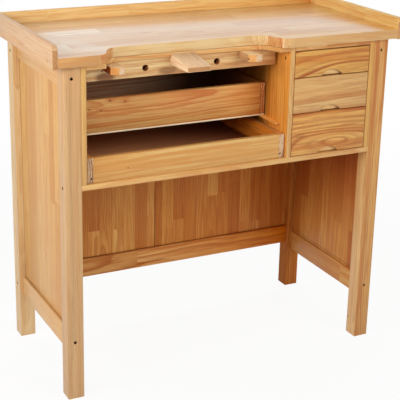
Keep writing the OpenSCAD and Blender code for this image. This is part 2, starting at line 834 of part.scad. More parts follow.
leg_front_left();
leg_front_right();
leg_rear_left();
leg_rear_right();
rail_lower_left();
rail_upper_left();
rail_lower_right();
rail_upper_right();
rail_lower_rear();
rail_upper_rear();
side_panel_left();
side_panel_right();
back_panel_left();
back_panel_right();
carcase_bottom();
carcase_side_left();
carcase_side_right();
partition();
subtop_left();
subtop_right();
worktop();
rim_left();
rim_right();
rim_rear();
pin_board();
bench_pin();
armrest_left();
armrest_right();
armrest_bearer();
tray_cleats();
drawer_cleats();
frame_screws();
rim_screws();
upper_tray_front();
upper_tray_sides();
upper_tray_back();
upper_tray_bottom();
lower_tray_front();
lower_tray_sides();
lower_tray_back();
lower_tray_bottom();
lower_tray_screws();
drawer_1_front();
drawer_1_sides();
drawer_1_back();
drawer_1_bottom();
drawer_2_front();
drawer_2_sides();
drawer_2_back();
drawer_2_bottom();
drawer_3_front();
drawer_3_sides();
drawer_3_back();
drawer_3_bottom();
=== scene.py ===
# %% [markdown]
# # A jeweller's workbench in varnished pine
#
# The bench is made of about fifty boards.  Their sizes, places and joints come from a fixed frame
# of plain boards.  This lesson gives each board what a joiner and the years would give it: eased
# arrises, its own piece of pine with growth rings, glue lines and knots, and a satin varnish.

import json
import math

import bpy
from mathutils import Matrix, Vector


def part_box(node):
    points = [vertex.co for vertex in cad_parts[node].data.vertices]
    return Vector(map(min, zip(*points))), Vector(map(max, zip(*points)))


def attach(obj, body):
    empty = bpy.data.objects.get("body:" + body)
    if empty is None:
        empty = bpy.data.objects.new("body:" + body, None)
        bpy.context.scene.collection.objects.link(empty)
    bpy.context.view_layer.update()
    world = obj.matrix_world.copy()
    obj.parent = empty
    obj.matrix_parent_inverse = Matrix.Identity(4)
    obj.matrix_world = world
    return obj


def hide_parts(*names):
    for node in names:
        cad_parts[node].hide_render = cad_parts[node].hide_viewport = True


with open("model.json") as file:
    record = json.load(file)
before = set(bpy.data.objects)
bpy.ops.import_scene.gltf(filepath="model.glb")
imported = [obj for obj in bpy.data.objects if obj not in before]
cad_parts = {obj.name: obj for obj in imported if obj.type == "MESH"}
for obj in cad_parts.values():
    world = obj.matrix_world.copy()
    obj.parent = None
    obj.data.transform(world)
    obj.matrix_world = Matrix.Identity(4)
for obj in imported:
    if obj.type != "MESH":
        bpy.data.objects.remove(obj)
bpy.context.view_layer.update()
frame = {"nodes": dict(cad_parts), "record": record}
MM_PER_M = 1000
scene = bpy.context.scene
scene.view_settings.view_transform = "Standard"
BODY_OF = {n: b for b, ns in frame["record"]["behaviour"]["bodies"].items() for n in ns}
print("boards and screws:", len(frame["nodes"]))

# %% [markdown]
# ## The camera
#
# The view is that of someone who stands a little to the left of the bench and looks slightly down
# on it.  A camera can be placed with angles, but three vectors are easier to check: where it looks,
# what is to its right, and what is up.  The lens is long, so the bench's lines stay nearly parallel,
# and a small shift of the lens sets the bench in the frame.

# %% Place the camera
AZIMUTH, ELEVATION, ROLL = math.radians(26.358), math.radians(18.383), math.radians(1.108)
CAMERA_PLACE = Vector((-1.3462, -2.6482, 1.5037))
LENS, SENSOR_WIDTH = 100.75, 36
SHIFT = (0.03, -0.08)


def place_camera():
    ahead = Vector((math.sin(AZIMUTH) * math.cos(ELEVATION),
                    math.cos(AZIMUTH) * math.cos(ELEVATION), -math.sin(ELEVATION)))
    level = Vector((math.cos(AZIMUTH), -math.sin(AZIMUTH), 0))
    upright = level.cross(ahead)
    right = level * math.cos(ROLL) + upright * math.sin(ROLL)
    up = upright * math.cos(ROLL) - level * math.sin(ROLL)
    data = bpy.data.cameras.new("standing view")
    data.lens, data.sensor_width = LENS, SENSOR_WIDTH
    data.shift_x, data.shift_y = SHIFT
    camera = bpy.data.objects.new("standing view", data)
    scene.collection.objects.link(camera)
    turn = Matrix((right, up, -ahead)).transposed().to_4x4()
    camera.matrix_world = Matrix.Translation(CAMERA_PLACE) @ turn
    return camera


scene.camera = place_camera()
print("camera at", tuple(round(v, 3) for v in scene.camera.location))

# %% [markdown]
# ## Wiring nodes
#
# Materials, the world and node groups are all trees of nodes.  Every node and every link could be
# written out, but that takes many lines and hides the idea.  The small class below adds a node with
# its inputs, by name or by number, in a few words: an input that comes from another node is linked,
# and any other is set as a value on the socket itself.

# %% Helpers for node trees
class Wiring:
    """Adds nodes to a tree with few words, and links or sets what is given as an input."""

    def __init__(self, tree):
        self.tree = tree

    def put(self, socket, value):
        if isinstance(value, bpy.types.NodeSocket):
            self.tree.links.new(value, socket)
        else:
            socket.default_value = value

    def add(self, kind, inputs=(), **settings):
        """Adds a node and returns its outputs."""
        made = self.tree.nodes.new(kind)
        for key, value in settings.items():
            setattr(made, key, value)
        for label, value in dict(inputs).items():
            self.put(made.inputs[label], value)
        return made.outputs

    def group(self, tree, **inputs):
        return self.add("ShaderNodeGroup", inputs, node_tree=tree)

    def math(self, operation, *numbers):
        return self.add("ShaderNodeMath", enumerate(numbers), operation=operation)[0]

    def plus(self, a, b):
        return self.math("ADD", a, b)

    def minus(self, a, b):
        return self.math("SUBTRACT", a, b)

    def times(self, a, b):
        return self.math("MULTIPLY", a, b)

    def over(self, a, b):
        return self.math("DIVIDE", a, b)

    def vector(self, x, y, z):
        return self.add("ShaderNodeCombineXYZ", enumerate((x, y, z)))[0]

    def length(self, vector):
        return self.add("ShaderNodeVectorMath", {0: vector}, operation="LENGTH")["Value"]

    def noise(self, vector, scale=1.0, detail=2.0, roughness=0.5):
        return self.add("ShaderNodeTexNoise", {"Vector": vector, "Scale": scale, "Detail": detail,
                                               "Roughness": roughness})[0]

    def ramp(self, value, low, high, to_low=0.0, to_high=1.0, smooth=True):
        return self.add("ShaderNodeMapRange", {"Value": value, "From Min": low, "From Max": high,
                                               "To Min": to_low, "To Max": to_high},
                        interpolation_type="SMOOTHSTEP" if smooth else "LINEAR")[0]

    def blend(self, factor, a, b, kind="MIX"):
        return self.add("ShaderNodeMix", {"Factor": factor, "A": a, "B": b},
                        data_type="RGBA", blend_type=kind)["Result"]

    def mix_shaders(self, share, first, second):
        return self.add("ShaderNodeMixShader", enumerate((share, first, second)))[0]


def new_material(name):
    """A material with an empty tree, and the wiring of that tree."""
    material = bpy.data.materials.new(name)
    material.use_nodes = True
    material.node_tree.nodes.clear()
    return material, Wiring(material.node_tree)


print("wiring helpers ready")

# %% [markdown]
# ## Floor and backdrop
#
# The bench stands on a white studio floor.  A white floor that is only lit never turns quite white,
# so it also shows some light of its own, and the rest of it takes the bench's shadow.  Further away
# the glow grows to pure white, so the floor has no visible edge.  The world does the same: it is
# white where it is seen, and a low fill as a light, so that what lies deep inside the bench stays
# dark.

# %% White floor and world
FLOOR_SIZE = 16
FLOOR_GREY = 0.9
SHADOW_REACH = (0.9, 2.6)
NEAR_GLOW, FAR_GLOW = 0.92, 1.0
FILL_STRENGTH, FILL_COLOUR = 0.1, (1.0, 0.98, 0.95, 1)


def seen_itself(w):
    """1 for the rays that show the floor or the world: straight, in gloss or through glass."""
    path = w.add("ShaderNodeLightPath")
    seen = w.math("MAXIMUM", path["Is Camera Ray"], path["Is Glossy Ray"])
    return w.math("MAXIMUM", seen, path["Is Transmission Ray"])


def white_floor():
    bpy.ops.object.select_all(action="DESELECT")
    bpy.ops.mesh.primitive_plane_add(size=FLOOR_SIZE, location=(0, 0, 0))
    floor = bpy.context.object
    floor.name = "studio_floor"
    material, w = new_material("white floor")
    matt = w.add("ShaderNodeBsdfDiffuse", {"Color": (FLOOR_GREY, FLOOR_GREY, FLOOR_GREY, 1)})
    away = w.length(w.add("ShaderNodeTexCoord")["Object"])
    glow = w.ramp(away, *SHADOW_REACH, NEAR_GLOW, FAR_GLOW, smooth=False)
    share = w.times(seen_itself(w), glow)
    surface = w.mix_shaders(share, matt[0], w.add("ShaderNodeEmission")[0])
    w.add("ShaderNodeOutputMaterial", {"Surface": surface})
    floor.data.materials.append(material)


def soft_world():
    world = bpy.data.worlds.new("studio")
    scene.world = world
    world.use_nodes = True
    world.node_tree.nodes.clear()
    w = Wiring(world.node_tree)
    fill = w.add("ShaderNodeBackground", {"Color": FILL_COLOUR, "Strength": FILL_STRENGTH})
    white = w.add("ShaderNodeBackground", {"Color": (1, 1, 1, 1)})
    surface = w.mix_shaders(seen_itself(w), fill[0], white[0])
    w.add("ShaderNodeOutputWorld", {"Surface": surface})


white_floor()
soft_world()
print("floor", FLOOR_SIZE, "m wide, fill", FILL_STRENGTH)

# %% [markdown]
# ## Lamps
#
# One hard lamp would draw black edges under the boards, so broad round lamps stand about the bench.
# The strongest is at the left, as a window would be, three weaker ones are in front, the last of
# them low for the knee space, and two are behind.  A lamp would show as a bright patch on the glossy
# worktop from the far side, so the gloss doesn't mirror them.

# %% Lamps round the bench
BENCH_MIDDLE = Vector((0, 0, 0.5))
LAMP_DISTANCE = 2.5
LAMP_SIZE, LAMP_COLOUR = 1.4, (1.0, 0.985, 0.96)


def round_lamp(name, azimuth, elevation, power):
    """A soft round lamp that faces the bench; its azimuth is 0 in front and 90 on the right."""
    turn, rise = math.radians(azimuth), math.radians(elevation)
    away = Vector((math.sin(turn) * math.cos(rise), -math.cos(turn) * math.cos(rise), math.sin(rise)))
    data = bpy.data.lights.new(name, "AREA")
    data.shape, data.size = "DISK", LAMP_SIZE
    data.energy, data.color = power, LAMP_COLOUR
    lamp = bpy.data.objects.new(name, data)
    scene.collection.objects.link(lamp)
    lamp.location = BENCH_MIDDLE + away * LAMP_DISTANCE
    lamp.rotation_mode = "QUATERNION"
    lamp.rotation_quaternion = (-away).to_track_quat("-Z", "Y")
    lamp.visible_glossy = False
    print(name, power, "W")


round_lamp("window on the left", -75, 22, 34)
round_lamp("front left", -35, 32, 15)
round_lamp("front right", 22, 28, 20)
round_lamp("low front right", 32, 9, 7)
round_lamp("behind", 180, 52, 22)
round_lamp("right and behind", 125, 25, 11)

# %% [markdown]
# ## Pine
#
# A board is a slice of a tree, so the surest way to get its figure right on the face, the edge and
# the end at once is to model the tree: rings round a pith that lies some way below the board.  Every
# board brings its own coordinates in an attribute named grain: along the fibres, across the board
# and through its thickness.  Wide boards are glued up from staves, so one helper finds which stave a
# point is in, and draws three numbers that give each stave a pith, a tilt and a tone of its own.

# %% A node group, and the staves in it
ZERO, BLACK = (0, 0, 0), (0, 0, 0, 1)
SHIFT_RANGE = 40.0
BLUE_SHARE = 0.3
TONE_REACH, TONE_POWERS = 0.42, (0.55, 1.15, 1.8)


def new_group(name, inputs, outputs):
    """A node group.  The value that a socket starts with tells its kind: one number, three or four."""
    tree = bpy.data.node_groups.new(name, "ShaderNodeTree")
    for direction, sockets in (("INPUT", inputs), ("OUTPUT", outputs)):
        for label, start in sockets.items():
            kind = {1: "Float", 3: "Vector", 4: "Color"}[len(start) if type(start) is tuple else 1]
            socket = tree.interface.new_socket(label, in_out=direction, socket_type="NodeSocket" + kind)
            socket.default_value = start
    w = Wiring(tree)
    return tree, w, w.add("NodeGroupInput"), tree.nodes.new("NodeGroupOutput").inputs


def parts_of(w, vector):
    """The three numbers of a vector."""
    return tuple(w.add("ShaderNodeSeparateXYZ", {0: vector}))


def find_stave(w, given, along, across):
    """The place across the stave, a shift for its noises, and three numbers drawn for it."""
    row = w.math("FLOOR", w.plus(w.over(across, given["stave"]), 0.5))
    local = w.minus(across, w.times(row, given["stave"]))
    place = w.vector(row, given["seed"], 0.0)
    first = w.add("ShaderNodeTexWhiteNoise", {"Vector": place}, noise_dimensions="2D")
    start = w.plus(w.over(along, given["stave_length"]), first["Value"])
    place = w.vector(row, w.math("FLOOR", start), given["seed"])
    second = w.add("ShaderNodeTexWhiteNoise", {"Vector": place}, noise_dimensions="3D")
    drawn = w.add("ShaderNodeSeparateColor", {0: second["Color"]})
    return local, w.times(second["Value"], SHIFT_RANGE), tuple(drawn)


def stave_tone(w, drawn, spread):
    """Each stave is a little lighter or darker than its neighbours, and a dark one is redder."""
    _, green, blue = drawn
    chance = w.minus(w.plus(green, w.times(blue, BLUE_SHARE)), (1 + BLUE_SHARE) / 2)
    light = w.plus(1.0, w.times(w.times(chance, spread), TONE_REACH))
    return w.vector(*(w.math("POWER", light, power) for power in TONE_POWERS))


print("stave helpers ready")

# %% [markdown]
# The rings could be drawn as stripes, but real ones show plain lines on one face and arches on the
# next.  So the next helpers measure how far a point is from the pith, let the trunk wobble and taper,
# and turn that distance into rings, which differ in width and in strength as wet and dry years do.
# The streaks are noises that are stretched along the grain: broad flames, dashes and fine fibres.

# %% The rings and the streaks
PITH_DRIFT, PITH_DEPTH, PITH_SINK = 0.09, 0.012, 0.07  # metres
WAVES = (3.2, 13.0)  # how often a streak changes in a metre along the grain, and across it
YEAR_STEP, YEAR_DRIFT = 0.45, 1.4
DARKENS, ENDS = (0.2, 0.88), (1.0, 0.91)  # shares of a ring
WEAK_YEARS = (0.38, 0.6, 0.25, 1.0)


def streaks(w, place, shift, pace, detail=2.0, roughness=0.6):
    """A noise that is drawn out along the grain."""
    along, across, depth = place
    stretch, fineness = pace
    return w.noise(w.vector(w.math("MULTIPLY_ADD", along, stretch, shift), w.times(across, fineness),
                            w.times(depth, fineness)), 1.0, detail, roughness)


def ring_radius(w, given, place, local, shift, drawn):
    """How far a point is from the pith of its stave."""
    red, green, blue = drawn
    pith_across, pith_depth, lean = parts_of(w, given["pith"])
    chance = w.times(given["luck"], w.minus(red, 0.5))
    pith_across = w.math("MULTIPLY_ADD", chance, PITH_DRIFT, pith_across)
    chance = w.math("MULTIPLY_ADD", w.times(given["luck"], green), PITH_SINK, PITH_DEPTH)
    pith_depth = w.plus(chance, pith_depth)
    dy = w.minus(local, pith_across)
    dz = w.plus(place[2], pith_depth)
    reach = w.math("SQRT", w.plus(w.times(dy, dy), w.times(dz, dz)))
    slow = streaks(w, place, shift, WAVES, roughness=0.45)
    wobble = w.times(w.minus(slow, 0.5), given["wobble"])
    chance = w.times(w.minus(blue, 0.5), given["luck"])
    taper = w.times(w.math("MULTIPLY_ADD", chance, given["taper"], lean), place[0])
    return w.plus(w.plus(w.plus(reach, wobble), taper), given["swell"])


def late_wood(w, radius, spacing, shift):
    """Where the dark wood of late summer lies: each ring darkens slowly and ends sharply."""
    rings = w.over(radius, spacing)
    years = w.noise(w.vector(w.times(rings, YEAR_STEP), shift, 0.0), detail=1.0)
    phase = w.math("FRACT", w.math("MULTIPLY_ADD", years, YEAR_DRIFT, rings))
    late = w.times(w.ramp(phase, *DARKENS), w.ramp(phase, *ENDS))
    return w.times(late, w.ramp(years, *WEAK_YEARS))


print("ring helpers ready")

# %% [markdown]
# The group lays these over each other: early and late wood, warm flames, the stave's tone, dashes and
# fibres, and the glue line between two staves.  It also puts out a mask for the varnish's sheen and a
# height for the bump.

# %% The pine group
FLAMES, FLAME_EDGE = (2.0, 60.0), (0.44, 0.66)
DASHES, DASH_EDGE, DASH_DARKNESS = (9.0, 230.0), (0.5, 0.68), 0.55
FIBRES, FIBRE_EDGE, FIBRE_DARKNESS = (14.0, 620.0), (0.45, 0.8), 0.4
SEAM_WIDTH, SEAM_DEPTH = (0.0002, 0.0011), 1.5
LATE_SHEEN, FIBRE_SHEEN, LATE_HEIGHT = 0.6, 0.4, 0.5


def pine_group():
    tree, w, given, wanted = new_group(
        "pine figure",
        dict(grain=ZERO, seed=0.0, swell=0.0, early=BLACK, late=BLACK, warm=BLACK, stave=0.5,
             stave_length=8.0, ring=0.004, wobble=0.02, taper=0.05, strength=0.6, flame=0.5,
             spread=0.1, glue=0.0, pith=ZERO, luck=1.0),
        dict(colour=BLACK, sheen=0.0, height=0.0))
    place = parts_of(w, given["grain"])
    local, shift, drawn = find_stave(w, given, *place[:2])
    late = late_wood(w, ring_radius(w, given, place, local, shift, drawn), given["ring"], shift)
    colour = w.blend(w.times(late, given["strength"]), given["early"], given["late"])
    flame = w.ramp(streaks(w, place, shift, FLAMES, detail=3.0), *FLAME_EDGE)
    colour = w.blend(w.times(flame, given["flame"]), colour, given["warm"])
    colour = w.blend(1.0, colour, stave_tone(w, drawn, given["spread"]), "MULTIPLY")
    dash = streaks(w, place, shift, DASHES)
    colour = w.blend(w.ramp(dash, *DASH_EDGE, 0.0, DASH_DARKNESS), colour, given["late"])
    fibre = streaks(w, place, shift, FIBRES)
    colour = w.blend(w.ramp(fibre, *FIBRE_EDGE, 0.0, FIBRE_DARKNESS), colour, given["late"])
    edge = w.minus(w.times(given["stave"], 0.5), w.math("ABSOLUTE", local))
    seam = w.ramp(edge, *SEAM_WIDTH, 1.0, 0.0)
    w.put(wanted["colour"], w.blend(w.times(seam, given["glue"]), colour, given["late"]))
    w.put(wanted["sheen"], w.plus(w.times(late, LATE_SHEEN), w.times(fibre, FIBRE_SHEEN)))
    ridge = w.plus(w.times(late, LATE_HEIGHT), fibre)
    w.put(wanted["height"], w.minus(ridge, w.times(seam, SEAM_DEPTH)))
    return tree


PINE = pine_group()
print("pine group:", len(PINE.nodes), "nodes")

# %% [markdown]
# A knot is where a branch left the trunk.  The rings bend round it, so a knot is more than a brown
# dot: this group gives a swelling that pushes the rings aside, and a core that is coloured brown.
# A swelling without a core gives the curls that a board shows where a knot lies just below its face.

# %% The knot group
SWELL_SIZE, CORE_EDGE = 2.6, (1.1, 0.55)  # in knot sizes


def knot_group():
    tree, w, given, wanted = new_group(
        "knot", dict(grain=ZERO, place=ZERO, size=0.004, stretch=2.0), dict(swell=0.0, core=0.0))
    ends = {0: given["grain"], 1: given["place"]}
    offset = w.add("ShaderNodeVectorMath", ends, operation="SUBTRACT")
    along, across, depth = parts_of(w, offset["Vector"])
    oval = w.vector(w.over(along, given["stretch"]), across, depth)
    away = w.over(w.length(oval), given["size"])
    spread = w.over(away, SWELL_SIZE)
    w.put(wanted["swell"], w.over(1.0, w.math("MULTIPLY_ADD", spread, spread, 1.0)))
    w.put(wanted["core"], w.ramp(away, *CORE_EDGE))
    return tree


KNOT = knot_group()
print("knot group:", len(KNOT.nodes), "nodes")

# %% [markdown]
# A thin dark line runs along the joints where two boards meet: it paints the shade in the narrow gap
# between them, with the varnish that gathers in the corner.  This group finds the points that lie
# within a line's width of a border, given the half sizes of the area along the grain, across it and
# through the board.  A half size that no board reaches leaves its direction out.

# %% The joint line group
BEYOND = 0.00004  # metres: what is nearer to the border than this is no longer the face


def joint_line_group():
    tree, w, given, wanted = new_group(
        "joint line", dict(grain=ZERO, half_sizes=ZERO, width=0.0015), dict(mask=0.0))
    mask = 0.0
    for here, border in zip(parts_of(w, given["grain"]), parts_of(w, given["half_sizes"])):
        depth = w.minus(border, w.math("ABSOLUTE", here))
        near = w.ramp(depth, 0.0, given["width"], 1.0, 0.0)
        inside = w.math("GREATER_THAN", depth, BEYOND)
        mask = w.math("MAXIMUM", mask, w.times(near, inside))
    w.put(wanted["mask"], mask)
    return tree


JOINT_SHADE_LINE = joint_line_group()
print("joint line group:", len(JOINT_SHADE_LINE.nodes), "nodes")

# %% [markdown]
# ## Finishes
#
# Each finish is the pine group with its own colours, stave width and ring spacing, under a satin
# varnish.  The varnish is glossier on the hard late wood than on the soft early wood, so the group's
# mask also varies the roughness.  The worktop has a second coat, which is what makes it look pale
# when it is seen at a low angle.  A board's own tone multiplies the colour, so one finish serves
# boards that were cut from lighter and darker trees; the same tone also paints the light and shade
# that fall on a board.

# %% The varnished pine
# The knot brown also colours the patches of painted shade, and the joint colour paints the shade in the
# gaps along the joints.
KNOT_AND_SHADE_BROWN, JOINT_SHADE_BROWN, JOINT_SHADE_DARKNESS = (104, 48, 16), (96, 52, 24), 0.75
SHEEN_RANGE = (0.1, 0.8)
BUMP_STRENGTH, BUMP_HEIGHT = 0.25, 0.0003
COAT_ROUGHNESS, COAT_IOR = 0.24, 1.85


def tint(r, g, b):
    """A colour given as on a screen, from 0 to 255, as Blender's linear colour."""
    return (*(((v / 255 + 0.055) / 1.055) ** 2.4 for v in (r, g, b)), 1.0)


def place_knots_and_shade(w, grain, knots_and_shade):
    """How far the knots and the patches of painted shade push the rings, and a mask for the dark core
    of each.
    """
    swell, cores = 0.0, []
    for place, size, stretch, push, darkness in knots_and_shade:
        knot = w.group(KNOT, grain=grain, place=place, size=size, stretch=stretch)
        swell = w.math("MULTIPLY_ADD", knot["swell"], push, swell)
        cores.append(w.times(knot["core"], darkness))
    return swell, cores


def pine(name, rough=(0.3, 0.5), specular=0.4, coat=0.0, toned=True, knots_and_shade=(), joint=None, light_and_shade_ramp=None,
         **recipe):
    """A varnished pine.  A knot, or a patch of painted shade, is its place in the board's grain, its
    size, its stretch along the grain, how far it pushes the rings, and how dark its core is.  A joint
    line, which paints the shade in the gap along a joint, is the half sizes of the area that it
    frames, and its width.  A ramp of painted light and shade is an axis of the grain, two places on
    it, and the tones there.  The rest of a recipe goes to the pine group."""
    material, w = new_material(name)
    grain = w.add("ShaderNodeAttribute", attribute_name="grain")["Vector"]
    tone_and_shade = w.add("ShaderNodeAttribute", attribute_name="tone_and_shade")
    swell, cores = place_knots_and_shade(w, grain, knots_and_shade)
    figure = w.group(PINE, grain=grain, seed=tone_and_shade["Alpha"], swell=swell, **recipe)
    colour = figure["colour"]
    # The board's tone, which also paints the light and shade that fall on it.
    if toned:
        colour = w.blend(1.0, colour, tone_and_shade["Color"], "MULTIPLY")
    # A ramp of painted light and shade along one axis of the board's grain.
    if light_and_shade_ramp:
        axis, start, end, first, last = light_and_shade_ramp
        share = w.ramp(parts_of(w, grain)[axis], start, end, smooth=False)
        colour = w.blend(1.0, colour, w.blend(share, (*first, 1), (*last, 1)), "MULTIPLY")
    # The cores of the knots, and the patches of painted shade.
    for core in cores:
        colour = w.blend(core, colour, tint(*KNOT_AND_SHADE_BROWN))
    # A dark line painted along the joints, as the shade in the gap between two boards.
    if joint:
        line = w.group(JOINT_SHADE_LINE, grain=grain, half_sizes=joint[0], width=joint[1])
        colour = w.blend(w.times(line["mask"], JOINT_SHADE_DARKNESS), colour, tint(*JOINT_SHADE_BROWN))
    bumps = w.add("ShaderNodeBump", {"Strength": BUMP_STRENGTH, "Distance": BUMP_HEIGHT,
                                     "Height": figure["height"]})
    shine = w.ramp(figure["sheen"], *SHEEN_RANGE, rough[1], rough[0], smooth=False)
    varnished = w.add("ShaderNodeBsdfPrincipled", {
        "Base Color": colour, "Roughness": shine, "Normal": bumps[0], "Specular IOR Level": specular,
        "Coat Weight": coat, "Coat Roughness": COAT_ROUGHNESS, "Coat IOR": COAT_IOR})
    w.add("ShaderNodeOutputMaterial", {"Surface": varnished[0]})
    return material


print("pine finish ready")

# %% [markdown]
# A recipe holds what sets one finish off from another: the colours of early, late and warm wood as
# on a screen, the ring width in metres, how strong the rings and flames are, and for glued boards
# the stave's width and length.  The pith is its place across the board, its depth and its lean along
# the board, and luck is how far the staves stray from that.  The same wood looks darker on a board in
# the bench's shade and paler on a fresh end, so boards, sides and ends have recipes of their own.

# %% Recipes for the top, the frame and the panels
ANY = 10  # a half size in metres that no board reaches


def wood(early, late, warm, **rest):
    """A recipe from the colours of its early, late and warm wood."""
    return dict(early=tint(*early), late=tint(*late), warm=tint(*warm), **rest)


HONEY = wood((211, 166, 106), (186, 114, 54), (202, 136, 70))
SHADED_STAVES = wood((214, 172, 112), (180, 108, 54), (196, 130, 70), stave=0.038,
                     stave_length=0.42, ring=0.0045, rough=(0.4, 0.55), specular=0.25)
# A joint entry paints a dark line of shade along the borders where the board meets the next one.
RECIPES = {
    "top": wood((214, 166, 104), (186, 116, 58), (200, 136, 70), stave=0.052, stave_length=0.62,
                ring=0.0042, strength=0.65, spread=1.6, glue=0.5, rough=(0.26, 0.4), specular=0.5,
                coat=1.0),
    "panel": dict(**HONEY, stave=0.036, stave_length=0.7, ring=0.0036, strength=0.55, spread=0.9,
                  glue=0.35, rough=(0.36, 0.5), joint=((0.3207, 0.1775, ANY), 0.003)),
    "rim": dict(**HONEY, stave_length=0.24, ring=0.0045, strength=0.5, spread=0.5),
    "inner panel": dict(**SHADED_STAVES, strength=0.6, spread=1.6, glue=0.55,
                        joint=((0.3125, 0.1775, ANY), 0.0035)),
    "back panel": dict(**SHADED_STAVES, strength=0.7, spread=2.1, glue=0.7,
                       joint=((0.3121, ANY, ANY), 0.006)),
    "leg": wood((212, 168, 114), (184, 124, 70), (198, 140, 82), ring=0.0048, strength=0.7,
                flame=0.6),
    "streaky leg": wood((212, 168, 112), (170, 100, 48), (182, 114, 60), ring=0.007, wobble=0.03,
                        strength=0.9, flame=0.9),
    "inner leg": wood((208, 160, 100), (168, 92, 40), (184, 112, 56), ring=0.006, wobble=0.025,
                      strength=0.9, flame=0.8, rough=(0.5, 0.65), specular=0.1),
    "carcase edge": wood((216, 174, 112), (188, 130, 70), (202, 148, 84), ring=0.004,
                         joint=((ANY, ANY, 0.0075), 0.0018)),
    "partition": wood((244, 174, 84), (202, 112, 26), (222, 136, 40), ring=0.008, wobble=0.03,
                      strength=0.8, flame=0.8),
    "board": dict(**HONEY, ring=0.0065, wobble=0.035, strength=0.75),
    "outer board": dict(**HONEY, ring=0.005, wobble=0.03, strength=0.75, toned=False),
    "outer panel": wood((212, 166, 104), (180, 108, 52), (198, 130, 66), stave=0.038,
                        stave_length=0.42, ring=0.0045, strength=0.6, spread=0.9, glue=0.4,
                        rough=(0.36, 0.5), toned=False),
    "jointed board": dict(**HONEY, ring=0.007, wobble=0.04, strength=0.9, flame=0.7, spread=0.7,
                          stave_length=0.55),
    "rear rail": wood((224, 180, 112), (170, 92, 36), (196, 122, 54), ring=0.012, wobble=0.04,
                      strength=1.0, flame=0.8, spread=-1.1, stave_length=0.55, rough=(0.45, 0.6),
                      specular=0.15),
    "subtop": wood((220, 174, 112), (186, 114, 56), (202, 138, 74), ring=0.006, wobble=0.04,
                   strength=0.75, flame=0.7, spread=1.6, stave_length=0.2,
                   joint=((ANY, ANY, 0.007), 0.0024)),
}
print("recipes:", ", ".join(RECIPES))

# %% [markdown]
# The drawer fronts and the trays show wide arches of one tree, so their pith lies where it is put,
# and isn't left to luck.  The pin and the armrests are a paler, finer wood that is less glossy.

# %% Recipes for the trays, the drawers and the rests
RECIPES.update({
    "tray": wood((214, 166, 106), (184, 94, 36), (196, 116, 54), ring=0.0062, wobble=0.012,
                 strength=0.9, flame=0.95, pith=(0.03, 0.03, 0.03), luck=0.0),
    "lower tray": wood((220, 176, 112), (198, 118, 50), (204, 130, 58), ring=0.011, wobble=0.014,
                       strength=0.6, flame=0.7, pith=(0.05, 0.04, 0.02), luck=0.0),
    "drawer 1": wood((224, 172, 102), (160, 64, 8), (192, 102, 34), ring=0.0135, wobble=0.02,
                     strength=1.0, flame=0.7, pith=(0.05, 0.12, 0.02), luck=0.0),
    "drawer 2": wood((220, 180, 118), (168, 88, 30), (202, 134, 66), ring=0.026, wobble=0.012,
                     strength=0.85, flame=0.5, pith=(0.1, 0.04, 0.0), luck=0.0),
    "drawer 3": wood((230, 184, 116), (152, 60, 6), (188, 104, 34), ring=0.0145, wobble=0.012,
                     strength=1.0, flame=0.65, pith=(0.07, 0.1, 0.0), luck=0.0),
    "pale": wood((222, 180, 124), (194, 138, 82), (208, 156, 96), ring=0.0042, strength=0.6),
    "pin board": wood((228, 188, 132), (176, 108, 58), (196, 132, 78), ring=0.009, wobble=0.03,
                      strength=0.8, flame=0.85),
    "pin": wood((242, 212, 172), (206, 150, 104), (228, 182, 134), ring=0.0046, wobble=0.003,
                taper=0.004, strength=0.8, flame=0.5, rough=(0.45, 0.6), pith=(0.2, 0, 0), luck=0.0),
    "armrest": wood((230, 174, 108), (204, 126, 58), (216, 144, 74), ring=0.0036, wobble=0.006,
                    strength=0.6, flame=0.6, rough=(0.45, 0.6)),
    # A pale colour that paints the light on the armrests' tops.
    "armrest top": wood((242, 208, 158), (220, 168, 110), (232, 186, 128), ring=0.0036, wobble=0.006,
                        strength=0.5, rough=(0.45, 0.6), toned=False),
})
print("recipes:", len(RECIPES))

# %% [markdown]
# Sawn ends are rougher and duller than planed faces.  The walls of a deep hole get a nearly black
# colour, which paints the shade inside them, and the mandrel holes in the pin board a brown one,
# which paints a lighter shade.
# Most of these recipes aren't toned: they keep their colours on whatever board they are.

